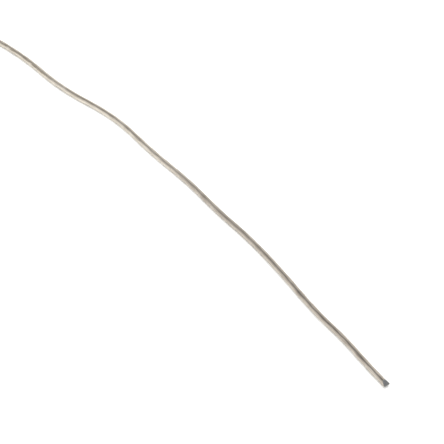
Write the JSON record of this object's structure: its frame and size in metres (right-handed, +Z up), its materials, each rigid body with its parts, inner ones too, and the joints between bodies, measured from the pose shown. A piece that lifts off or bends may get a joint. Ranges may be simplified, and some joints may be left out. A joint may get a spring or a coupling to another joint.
{
  "type": "solder wire spool",
  "caption": "Round two-flanged moulded spool of cored solder wire, standing on one flange, with the wire's cut free end lying beside it.",
  "frame": {"origin": "centre of the lower flange's foot, on the surface the spool stands on", "axes": "+Z up along the spool's axis; +X is to the right and +Y is away, seen from the side where the free end is nearest; the free end lies towards +X and -Y"},
  "size_m": [0.179, 0.1353, 0.05],
  "materials": {
    "spool_plastic": "moulded natural white polystyrene, fine satin texture",
    "label_paper": "coated paper, satin, printed with a plain blue band",
    "solder_alloy": "drawn tin alloy wire, satin with fine draw lines",
    "rosin_flux": "solid rosin, glossy where it breaks"
  },
  "bodies": {
    "reel": {"lower_spool_half": "spool_plastic", "upper_spool_half": "spool_plastic", "lower_label": "label_paper", "upper_label": "label_paper", "wound_wire": "solder_alloy", "wire_start": "solder_alloy"},
    "free_wire": {"outer_turn": "solder_alloy", "free_end": "solder_alloy", "flux_core": "rosin_flux"}
  },
  "joints": [
    {"name": "pay_off", "type": "hinge", "parent": "reel", "child": "free_wire", "pos_m": [0, 0, 0.0082], "axis": [0, 0, 1], "continuous": true}
  ]
}
